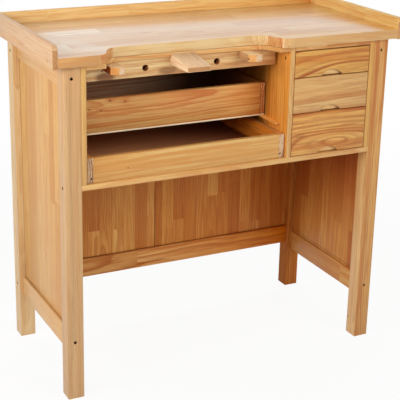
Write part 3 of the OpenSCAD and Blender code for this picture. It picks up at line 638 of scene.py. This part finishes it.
# %% Recipes for single sides, ends, thin bottoms and holes
SAWN = dict(wobble=0.006, rough=(0.5, 0.65), specular=0.2)
RECIPES.update({
    # Dark knotty wood in painted shade, for the left armrest's left side.
    "knotty side": wood((168, 88, 40), (96, 38, 12), (120, 44, 20), ring=0.004, wobble=0.02,
                        strength=0.8, flame=0.8, rough=(0.5, 0.7), specular=0.15, toned=False),
    # A pale colour that paints the light on the front right leg's left side.
    "pale side": wood((232, 194, 136), (200, 146, 88), (216, 166, 106), ring=0.005, strength=0.7,
                      flame=0.6, toned=False),
    "streaky side": wood((238, 150, 54), (140, 58, 8), (200, 100, 22), ring=0.008, wobble=0.02,
                         strength=1.0, flame=1.0, toned=False),
    "end": wood((204, 168, 122), (150, 98, 56), (182, 134, 86), ring=0.003, strength=0.85, **SAWN),
    "pin end": wood((206, 160, 110), (158, 100, 62), (182, 132, 86), ring=0.0045, strength=0.9,
                    toned=False, **SAWN),
    "pale end": wood((228, 198, 164), (180, 134, 96), (210, 172, 134), ring=0.003, strength=0.6,
                     toned=False, **SAWN),
    "tray end": wood((224, 192, 154), (104, 50, 28), (182, 128, 86), ring=0.0055, strength=1.0,
                     toned=False, **SAWN),
    "streaky end": wood((236, 170, 106), (132, 54, 14), (188, 98, 40), ring=0.0075, strength=0.9,
                        toned=False, **SAWN),
    "top edge": wood((224, 184, 124), (196, 134, 74), (210, 152, 88), ring=0.0036, wobble=0.008,
                     strength=0.65, rough=(0.36, 0.5), toned=False, pith=(0.3, 0, 0), luck=0.0),
    "top flank": wood((226, 180, 118), (182, 94, 38), (206, 134, 68), ring=0.0045, wobble=0.03,
                      strength=1.0, flame=0.7, rough=(0.36, 0.5), toned=False),
    "ply": wood((250, 236, 206), (222, 192, 148), (240, 220, 182), ring=0.0013, strength=0.6,
                rough=(0.45, 0.6), specular=0.25),
    "hardboard": wood((172, 126, 88), (146, 102, 68), (158, 110, 72), ring=0.006, wobble=0.08,
                      strength=0.4, flame=0.5, rough=(0.5, 0.6), specular=0.2),
    # A pale colour that paints the light on the web at the back of a finger notch.
    "web in painted light": wood((244, 204, 146), (210, 156, 96), (226, 176, 116), ring=0.004, strength=0.5,
                  rough=(0.5, 0.6), specular=0.2, toned=False),
    # The walls of holes: colours that paint the shade inside them, paler in the open mandrel holes.
    "open bore": wood((176, 110, 64), (120, 66, 34), (150, 88, 48), ring=0.003, rough=(0.6, 0.8),
                      specular=0.1, toned=False),
    "bore": wood((78, 42, 22), (40, 20, 10), (58, 31, 16), ring=0.003, rough=(0.6, 0.8),
                 specular=0.1, toned=False),
})
FINISHES = {name: pine(name, **recipe) for name, recipe in RECIPES.items()}
print("finishes:", ", ".join(FINISHES))

# %% [markdown]
# ## Boards with eased arrises
#
# No joiner leaves a knife-sharp edge: a pass with fine paper takes it off, and that small round is
# what catches the light along every board.  Many boards are plain: such a one starts as a cube at its
# size and place, and its twelve edges are bevelled in edit mode.

# %% A plain board
SEGMENTS = 2
SMOOTH_CUBE = math.radians(50)


def only(piece):
    """Selects one object and makes it the active one."""
    bpy.ops.object.select_all(action="DESELECT")
    piece.select_set(True)
    bpy.context.view_layer.objects.active = piece


def settle(piece):
    """Puts the object's place and size into its mesh, so that the object sits at the origin."""
    only(piece)
    bpy.ops.object.transform_apply(location=True, rotation=True, scale=True)


def plain_board(node, ease):
    low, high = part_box(node)
    bpy.ops.object.select_all(action="DESELECT")
    bpy.ops.mesh.primitive_cube_add(size=1, location=(low + high) / 2)
    piece = bpy.context.object
    piece.scale = high - low
    settle(piece)
    bpy.ops.object.mode_set(mode="EDIT")
    bpy.ops.mesh.select_all(action="SELECT")
    bpy.ops.mesh.bevel(offset=ease, segments=SEGMENTS, affect="EDGES")
    bpy.ops.object.mode_set(mode="OBJECT")
    bpy.ops.object.shade_smooth_by_angle(angle=SMOOTH_CUBE)
    return piece


print("plain boards ready")

# %% [markdown]
# A board with holes, grooves or notches could be cut from a cube, but its plain solid has that shape
# already.  So it starts as a copy of that: the copy's loose triangles are merged, its flat faces are
# cleared of spare edges, and a bevel modifier rounds only what is sharp.

# %% A board with holes, grooves or notches
MERGE_WITHIN = 0.00002  # metres
FLAT, SHARP, SMOOTH_SHAPE = math.radians(1), math.radians(40), math.radians(35)


def shaped_board(node, ease):
    piece = bpy.data.objects.new(node + "_board", frame["nodes"][node].data.copy())
    scene.collection.objects.link(piece)
    piece.data.materials.clear()
    only(piece)
    bpy.ops.object.mode_set(mode="EDIT")
    bpy.ops.mesh.select_all(action="SELECT")
    bpy.ops.mesh.remove_doubles(threshold=MERGE_WITHIN)
    bpy.ops.mesh.dissolve_limited(angle_limit=FLAT)
    bpy.ops.object.mode_set(mode="OBJECT")
    if piece.data.has_custom_normals:
        bpy.ops.mesh.customdata_custom_splitnormals_clear()
    rounding = piece.modifiers.new("eased arrises", "BEVEL")
    rounding.width, rounding.segments = ease, SEGMENTS
    rounding.limit_method, rounding.angle_limit = "ANGLE", SHARP
    rounding.use_clamp_overlap = True
    bpy.ops.object.modifier_apply(modifier=rounding.name)
    bpy.ops.object.shade_smooth_by_angle(angle=SMOOTH_SHAPE)
    return piece


print("shaped boards ready")

# %% [markdown]
# The finish has to know how each point lies in the wood, so every board stores its grain coordinates
# and its tone, with its painted light and shade, as attributes.  Its faces then get their finishes
# by where they look: the long faces show long grain, the ends show end grain, and the walls of holes
# get a dark colour that paints their shade.

# %% Telling a board's faces apart
AXES = {"x": 0, "y": 1, "z": 2}
SQUARE_ON, EDGE_ON = 0.995, 0.02
LOOKS_DOWN, LOOKS_FORWARD = -0.3, -0.9
ABOVE_EDGE, INSIDE = 0.001, 0.003  # metres from the outside


def grain_axes(low, high, along):
    """The board's axes in the order along the grain, across the board, through its thickness."""
    a = AXES[along]
    b, c = sorted((i for i in range(3) if i != a), key=lambda i: low[i] - high[i])
    return a, b, c


def is_bore(face, low, high, reach):
    """True for the wall of a hole: a slanting face that isn't an eased arris of the board."""
    leans = [abs(n) for n in face.normal]
    if max(leans) > SQUARE_ON or min(leans) > EDGE_ON:
        return False
    near = [min(face.center[i] - low[i], high[i] - face.center[i]) < reach for i in range(3)]
    return sum(near) < 2


def is_arch(face, low):
    """True for the arched wall of a finger notch, which faces down and lies inside the board."""
    level = abs(face.normal.y) < EDGE_ON
    return face.normal.z < LOOKS_DOWN and level and face.center.z - low[2] > ABOVE_EDGE


def is_web(face, low, high):
    """True for the web at the back of a finger notch, whose pale colour paints the light on it."""
    return face.normal.y < LOOKS_FORWARD and low[1] + INSIDE < face.center.y < high[1] - INSIDE


print("axes of a 3 x 1 x 2 block along x:", grain_axes((0, 0, 0), (3, 1, 2), "x"))

# %% [markdown]
# Every mesh gets four finishes in a fixed order, and each face the number of its own.  The number of
# the board goes into the alpha of its tone and painted shade, where the pine group takes it as the
# seed of its staves.

# %% Laying the grain
LONG, END, HOLE, PAINTED_LIGHT_WEB = range(4)
END_GRAIN = 0.95
SEED_STEP = 0.37
ARRIS_REACH = 2.5


def lay_grain(piece, along, long_wood, end_wood, tone_and_shade, seed, drilled=False, ease=0.001, sides=()):
    """Stores where each point lies in the wood, and gives the ends their own finish, the bores and the
    arches of finger notches a dark colour that paints their shade, and the webs of the notches a pale
    colour that paints their light.
    A side is a direction, such as -x, the finish of the faces that look there, and how squarely
    they have to look there.  An inner side leaves out the faces on the outside."""
    mesh = piece.data
    points = [v.co for v in mesh.vertices]
    low = [min(p[i] for p in points) for i in range(3)]
    high = [max(p[i] for p in points) for i in range(3)]
    axes = grain_axes(low, high, along)
    grain = mesh.attributes.new("grain", "FLOAT_VECTOR", "POINT")
    grain.data.foreach_set("vector", [p[i] - (low[i] + high[i]) / 2 for p in points for i in axes])
    shade = mesh.attributes.new("tone_and_shade", "FLOAT_COLOR", "POINT")
    shade.data.foreach_set("color", [*tone_and_shade, seed * SEED_STEP] * len(points))
    mesh.materials.clear()
    painted_hole_shade = FINISHES["open bore" if "pin_board" in piece.name else "bore"]
    for finish in (long_wood, end_wood, painted_hole_shade, FINISHES["web in painted light"]):
        mesh.materials.append(finish)
    notched = "drawer" in piece.name and "front" in piece.name
    for face in mesh.polygons:
        face.material_index = END if abs(face.normal[axes[0]]) > END_GRAIN else LONG
        if drilled and is_bore(face, low, high, ARRIS_REACH * ease):
            face.material_index = HOLE
        # The arch of a finger notch gets the hole's dark colour, which paints the shade under it.
        if notched and is_arch(face, low):
            face.material_index = HOLE
        # The web gets a pale colour, which paints the light on it.
        if notched and is_web(face, low, high):
            face.material_index = PAINTED_LIGHT_WEB
    for index, (direction, finish, squarely) in enumerate(sides, PAINTED_LIGHT_WEB + 1):
        mesh.materials.append(finish)
        axis, sign = AXES[direction[1]], 1 if direction[0] == "+" else -1
        outside, depth = (high if sign > 0 else low)[axis], INSIDE if "inner" in direction else -1
        for face in mesh.polygons:
            if face.normal[axis] * sign > squarely and abs(face.center[axis] - outside) > depth:
                face.material_index = index


print("board tools ready")

# %% [markdown]
# ## Knots, curls and painted shade
#
# A few boards show knots and curls that anyone would know them by, so these have places of their
# own, in millimetres from the middle of the bench's feet.  Two entries on the pin board aren't knots
# but patches of painted shade, laid in the same way.  Each entry gives a place, the knot's size, its
# stretch along the grain, how far it pushes the rings in millimetres, and how dark its core is.

# %% Where the knots and the patches of painted shade are
KNOTS_AND_SHADE = {
    "upper_tray_front": [((-300, -81.5, 762), 2.4, 1.8, 4, 0.8),
                         ((-258, -81.5, 756), 2.2, 1.8, 4, 0.7),
                         ((-357, -81.5, 744), 2.4, 1.6, 4, 0.8),
                         ((-325, -81.5, 738), 2.2, 2.2, 4, 0.7)],
    "lower_tray_front": [((-297, -192.5, 615), 1.9, 1.5, 4, 0.8)],
    "drawer_1_front": [((352, -199.5, 804), 16, 3.6, 60, 0)],
    "drawer_2_front": [((410, -199.5, 760), 12, 5.0, 16, 0)],
    "drawer_3_front": [((201, -199.5, 643), 8, 2.4, 14, 0.3), ((316, -199.5, 622), 13, 4.2, 80, 0)],
    "armrest_right": [((41, -188, 865), 3.4, 1.2, 4, 0.9)],
    # The second and third pin board entries are painted shade: the shadow under the worktop's tongue
    # beside the left armrest, and the shade low on the board beside the pin.
    "pin_board": [((-345, -139.5, 856), 2.6, 1.2, 3, 0.95), ((-336, -139.5, 839), 15, 2.0, 6, 0.75),
                  ((-166, -139.5, 843), 11, 2.8, 8, 0.5)],
    "partition": [((159, -176, 855), 4.4, 1.3, 3, 1.0)],
    "leg_front_right": [((424, -163, 51), 3.0, 1.4, 3, 0.8)],
    "worktop": [((470, -150, 915), 9, 2.0, 22, 0.1), ((88, -196, 902), 12, 1.3, 25, 0.3)],
}
print("boards with knots of their own:", ", ".join(KNOTS_AND_SHADE))

# %% [markdown]
# ## Painted light and shade
#
# The lamps don't give every board the light and shade that it should show, so some boards have them
# painted into their colour: paler where more light falls, and darker where the board reaches into the
# shade of the bench, as in the bays and the knee space.  The worktop is painted paler and bluer at its
# left end, a painted reflection and light.  Each entry gives an axis of the bench, the two places in
# millimetres between which the tone changes, and the tones there, as multipliers for red, green and
# blue.  A side with a finish of its own is named by its board and that finish.

# %% Where light and shade are painted on the boards
PAINTED_LIGHT_RAMPS = {
    "worktop": ("x", -485, 485, (1.17, 1.52, 2.8), (1.05, 0.96, 0.52)),
    "worktop top edge": ("y", -212, -165, (0.9, 0.88, 0.92), (1.03, 1.18, 1.42)),
    "worktop top flank": ("y", -202, -168, (0.97, 0.88, 0.8), (1.04, 1.12, 1.2)),
    "rim_rear": ("x", -480, 480, (1.0, 1.09, 1.3), (1.1, 1.0, 0.76)),
    "rim_right": ("y", -180, 120, (1.0, 1.04, 1.06), (1.08, 1.26, 1.56)),
    "side_panel_right": ("z", 260, 500, (1.26, 1.5, 1.6), (0.8, 0.6, 0.6)),
    "upper_tray_front": ("x", -391, 142, (0.94, 1.06, 1.18), (1.0, 1.0, 0.94)),
    "back_panel_right": ("x", -35, 430, (1, 1, 0.95), (0.86, 0.7, 0.56)),
    "rail_lower_rear": ("x", -424, 424, (1.06, 1.5, 3.2), (0.82, 0.48, 0.08)),
    "pin_board": ("x", -399, 149, (1.16, 1.42, 1.7), (0.92, 0.9, 0.88)),
    "lower_tray_front": ("x", -391, 142, (0.9, 0.95, 0.98), (1.0, 1.12, 1.2)),
    "upper_tray_back": ("x", -391, 60, (2.2, 2.6, 3.6), (0.16, 0.15, 0.16)),
    "lower_tray_bottom": ("x", -391, 142, (1.8, 1.85, 1.9), (0.62, 0.4, 0.38)),
    "upper_tray_sides": ("y", -90, 40, (0.75, 0.7, 0.65), (0.34, 0.28, 0.24)),
    "partition": ("y", -110, -60, (1, 1, 1), (0.34, 0.3, 0.24)),
}
# These boards have light and shade painted into their colour.
print("boards that have faded:", ", ".join(PAINTED_LIGHT_RAMPS))

# %% [markdown]
# Knots, patches of painted shade and ramps of painted light and shade are given in the bench's axes,
# where they are easy to measure, but a finish works in the grain of its board.  So a board that has
# any gets a finish of its own, with their places turned into its grain, and every other board shares
# the finish of its recipe.

# %% A board's own finish
def own_finish(node, along, recipe, painted_light=""):
    """The board's finish, with its own knots and patches of painted shade, and with the painted light
    and shade of that name where there is one.
    """
    painted_light = painted_light or node
    if node not in KNOTS_AND_SHADE and painted_light not in PAINTED_LIGHT_RAMPS:
        return FINISHES[recipe]
    low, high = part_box(node)
    order = grain_axes(low, high, along)
    knots_and_shade = []
    for place, size, stretch, push, darkness in KNOTS_AND_SHADE.get(node, ()):
        local = [place[i] / MM_PER_M - (low[i] + high[i]) / 2 for i in order]
        knots_and_shade.append((local, size / MM_PER_M, stretch, push / MM_PER_M, darkness))
    light_and_shade_ramp = None
    if painted_light in PAINTED_LIGHT_RAMPS:
        letter, *places, first, last = PAINTED_LIGHT_RAMPS[painted_light]
        axis = AXES[letter]
        middle = (low[axis] + high[axis]) / 2
        light_and_shade_ramp = (order.index(axis), *(place / MM_PER_M - middle for place in places), first, last)
    return pine(f"{node} {recipe}", **RECIPES[recipe], knots_and_shade=knots_and_shade, light_and_shade_ramp=light_and_shade_ramp)


print("own finishes ready")

# %% [markdown]
# ## Cutting list
#
# The list below says for each board which way its grain runs, its finish, the finish of its ends,
# how far its arrises are eased, its tone, and whether it is plain, has grooves and notches, or is
# also drilled.  The tone is a multiplier for red, green and blue: partly the board's own lighter or
# darker wood, and partly painted light and shade, darker for the boards in the bench's shade and
# paler and bluer for those in the most light.  Each board draws its staves with its number in the
# list, so the order of the list stays as it is.

# %% The cutting list
PLAIN, SHAPED, DRILLED = 0, 1, 2
BOARDS = [
    # node, grain, finish, ends, ease in mm, tone with painted light and shade, shape
    ("worktop", "x", "top", "end", 1.2, (1.08, 1.16, 1.22), SHAPED),
    ("rim_left", "y", "rim", "pin end", 1.0, (1.08, 1.28, 1.94), SHAPED),
    ("rim_right", "y", "rim", "pin end", 1.0, (1.27, 1.46, 1.36), SHAPED),
    ("rim_rear", "x", "rim", "end", 1.0, (1.25, 1.46, 1.54), PLAIN),
    ("leg_front_left", "z", "leg", "end", 1.5, (0.97, 1.07, 1.26), DRILLED),
    ("leg_front_right", "z", "streaky leg", "end", 1.5, (0.97, 0.92, 0.76), DRILLED),
    ("leg_rear_left", "z", "leg", "end", 1.5, (1.14, 1.42, 1.8), DRILLED),
    ("leg_rear_right", "z", "inner leg", "end", 1.5, (0.84, 0.6, 0.34), DRILLED),
    ("rail_lower_left", "y", "pale", "end", 1.0, (1.02, 1.04, 1.1), DRILLED),
    ("rail_upper_left", "y", "pale", "end", 1.0, (1, 1, 1), SHAPED),
    ("rail_lower_right", "y", "jointed board", "end", 1.0, (1.04, 0.94, 0.7), SHAPED),
    ("rail_upper_right", "y", "board", "end", 1.0, (1, 0.94, 0.8), SHAPED),
    ("rail_lower_rear", "x", "rear rail", "end", 1.0, (1.0, 0.78, 0.42), SHAPED),
    ("rail_upper_rear", "x", "board", "end", 1.0, (1, 0.92, 0.74), SHAPED),
    ("side_panel_left", "z", "panel", "end", 0.3, (1.06, 1.12, 1.12), PLAIN),
    ("side_panel_right", "z", "inner panel", "end", 0.3, (0.77, 0.48, 0.24), PLAIN),
    ("back_panel_left", "z", "back panel", "end", 1.4, (0.97, 0.76, 0.46), PLAIN),
    ("back_panel_right", "z", "back panel", "end", 1.4, (0.93, 0.66, 0.35), PLAIN),
    ("carcase_bottom", "x", "board", "end", 0.8, (1.1, 1.2, 1.25), DRILLED),
    ("carcase_side_left", "z", "leg", "end", 0.8, (1, 1, 0.92), PLAIN),
    ("carcase_side_right", "z", "leg", "end", 0.8, (0.95, 0.88, 0.66), PLAIN),
    ("partition", "z", "partition", "end", 0.8, (1, 1, 1), PLAIN),
    ("subtop_left", "x", "subtop", "end", 0.8, (1.08, 1.14, 1.16), SHAPED),
    ("subtop_right", "x", "subtop", "end", 0.8, (1.08, 1.16, 1.2), PLAIN),
    ("pin_board", "x", "pin board", "end", 1.0, (1.0, 0.98, 0.9), DRILLED),
    ("bench_pin", "y", "pin", "pin end", 1.2, (1, 1, 1), SHAPED),
    ("armrest_left", "y", "armrest", "pale end", 1.2, (0.94, 0.86, 0.72), SHAPED),
    ("armrest_right", "y", "armrest", "pale end", 1.2, (0.98, 0.96, 0.94), SHAPED),
    ("armrest_bearer", "x", "board", "end", 0.8, (0.9, 0.8, 0.66), PLAIN),
    ("tray_cleats", "y", "board", "end", 0.8, (1.6, 1.6, 1.1), SHAPED),
    ("drawer_cleats", "y", "board", "end", 0.8, (1, 0.95, 0.9), SHAPED),
    ("upper_tray_front", "x", "tray", "end", 1.0, (1.14, 1.14, 1.0), PLAIN),
    ("upper_tray_back", "x", "tray", "end", 1.0, (0.72, 0.8, 1.05), PLAIN),
    ("upper_tray_sides", "y", "board", "streaky end", 1.0, (0.62, 0.44, 0.28), SHAPED),
    ("upper_tray_bottom", "x", "ply", "ply", 0.3, (1.1, 1.12, 1.12), PLAIN),
    ("lower_tray_front", "x", "lower tray", "end", 1.0, (1.02, 1.04, 1.0), SHAPED),
    ("lower_tray_back", "x", "board", "end", 1.0, (0.8, 0.66, 0.5), SHAPED),
    ("lower_tray_sides", "y", "board", "tray end", 1.0, (1.06, 0.94, 0.76), DRILLED),
    ("lower_tray_bottom", "x", "hardboard", "hardboard", 0.3, (1, 1, 1), PLAIN),
    ("drawer_1_front", "x", "drawer 1", "end", 1.0, (0.91, 0.96, 0.76), SHAPED),
    ("drawer_2_front", "x", "drawer 2", "end", 1.0, (0.94, 0.95, 0.96), SHAPED),
    ("drawer_3_front", "x", "drawer 3", "end", 1.0, (0.91, 0.86, 0.68), SHAPED),
] + [
    (f"drawer_{i}_{part}", along, "pale", "end", ease, (1, 0.92, 0.8), shape) for i in (1, 2, 3)
    for part, along, ease, shape in (("sides", "y", 0.6, SHAPED), ("back", "x", 0.6, PLAIN),
                                     ("bottom", "x", 0.3, PLAIN))
]
print("boards in the list:", len(BOARDS))

# %% [markdown]
# Some boards have a side that differs from the rest.  A face of the frame that looks out gets a plain
# finish without the board's tone, since that tone paints the light and shade on the faces that look
# in; a sawn or streaky side has a finish of its own; and a few sides get a colour that paints light
# or shade: the shade on the left armrest's knotty left side, the light on the armrests' tops and on
# the front right leg's left side, and the shade in the seam between the back panels.
# Each entry gives a direction, a finish, and sometimes how squarely a face has to look that way.

# %% Sides with a finish of their own
OUT_RIGHT, OUT_REAR = ("+x", "outer board"), ("+y", "outer board")
SIDES = {
    "worktop": [("-y", "top edge"), ("-x", "top flank"), ("+x", "top flank", 0.35)],
    "rim_rear": [OUT_REAR], "rim_right": [OUT_RIGHT],
    # The armrests' tops are paler, which paints the light on them, and the left armrest's left side is
    # darker, which paints its shade.
    "armrest_left": [("-x", "knotty side"), ("+z", "armrest top")],
    "armrest_right": [("-x", "pin end"), ("+z", "armrest top")],
    "leg_rear_right": [OUT_RIGHT, OUT_REAR], "leg_rear_left": [OUT_REAR],
    # The front right leg's left side is paler, which paints the light on it.
    "leg_front_right": [OUT_RIGHT, OUT_REAR, ("-x", "pale side")],
    "rail_lower_rear": [OUT_REAR], "rail_upper_rear": [OUT_REAR],
    "rail_lower_right": [OUT_RIGHT], "rail_upper_right": [OUT_RIGHT],
    "side_panel_right": [("+x", "outer panel")],
    "lower_tray_sides": [("-x inner", "streaky side")],
    "partition": [("-y", "carcase edge")], "carcase_side_left": [("-y", "carcase edge")],
    "carcase_side_right": [("-y", "carcase edge")],
    # The sides at the seam between the back panels get the bores' dark colour, which paints the shade
    # in the seam.
    "back_panel_left": [("+y", "outer panel"), ("+x", "bore")],
    "back_panel_right": [("+y", "outer panel"), ("-x", "bore")],
}
print("boards with sides of their own:", len(SIDES))

# %% [markdown]
# Now each board is made, finished, and told which body it rides on and which plain board it replaces.

# %% Make the boards
USUALLY = 0.75
for number, (node, along, wood, ends, ease, tone_and_shade, shape) in enumerate(BOARDS, start=1):
    ease /= MM_PER_M
    board = (plain_board if shape == PLAIN else shaped_board)(node, ease)
    board.name = node + "_board"
    sides = [(side, own_finish(node, along, finish, f"{node} {finish}"), *(squarely or [USUALLY]))
             for side, finish, *squarely in SIDES.get(node, ())]
    lay_grain(board, along, own_finish(node, along, wood), FINISHES[ends], tone_and_shade, number,
              shape == DRILLED, ease, sides)
    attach(board, BODY_OF[node])
    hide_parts(node)
print("boards dressed:", len(BOARDS))

# %% [markdown]
# ## Screws and plugs
#
# The frame's screws sit deep in their recesses, so their solids stay as they are and get a dull dark
# steel: a metal whose colour and roughness cloud a little, as on a screw that was never polished.

# %% Steel for the screws
CLOUDS, CLOUD_EDGE = 900.0, (0.3, 0.7)
DARK_STEEL, LIGHT_STEEL = (38, 32, 28), (70, 62, 56)
STEEL_ROUGHNESS = (0.35, 0.6)


def dull_steel():
    material, w = new_material("dull screw steel")
    cloudy = w.noise(w.add("ShaderNodeTexCoord")["Object"], CLOUDS, 3.0)
    steel = w.add("ShaderNodeBsdfPrincipled", {
        "Base Color": w.blend(cloudy, tint(*DARK_STEEL), tint(*LIGHT_STEEL)), "Metallic": 1.0,
        "Roughness": w.ramp(cloudy, *CLOUD_EDGE, *STEEL_ROUGHNESS)})
    w.add("ShaderNodeOutputMaterial", {"Surface": steel[0]})
    return material


STEEL = dull_steel()
for name in ("frame_screws", "lower_tray_screws"):
    screws = frame["nodes"][name]
    screws.data.materials.clear()
    screws.data.materials.append(STEEL)
    print(name, "are of", STEEL.name)

# %% [markdown]
# The rim's screws are covered with small dowels.  They are cut from darker wood than the rim, and show
# its long grain, so they are made as the boards are.

# %% Plugs in the rim
PLUG_EASE, PLUG_SEED, PLUG_TONE = 0.0002, 77, (0.12, 0.06, 0.04)
plugs = shaped_board("rim_screws", PLUG_EASE)
plugs.name = "rim_plugs"
lay_grain(plugs, "y", FINISHES["board"], FINISHES["board"], PLUG_TONE, PLUG_SEED)
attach(plugs, "bench")
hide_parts("rim_screws")
print("plugs' faces:", len(plugs.data.polygons))
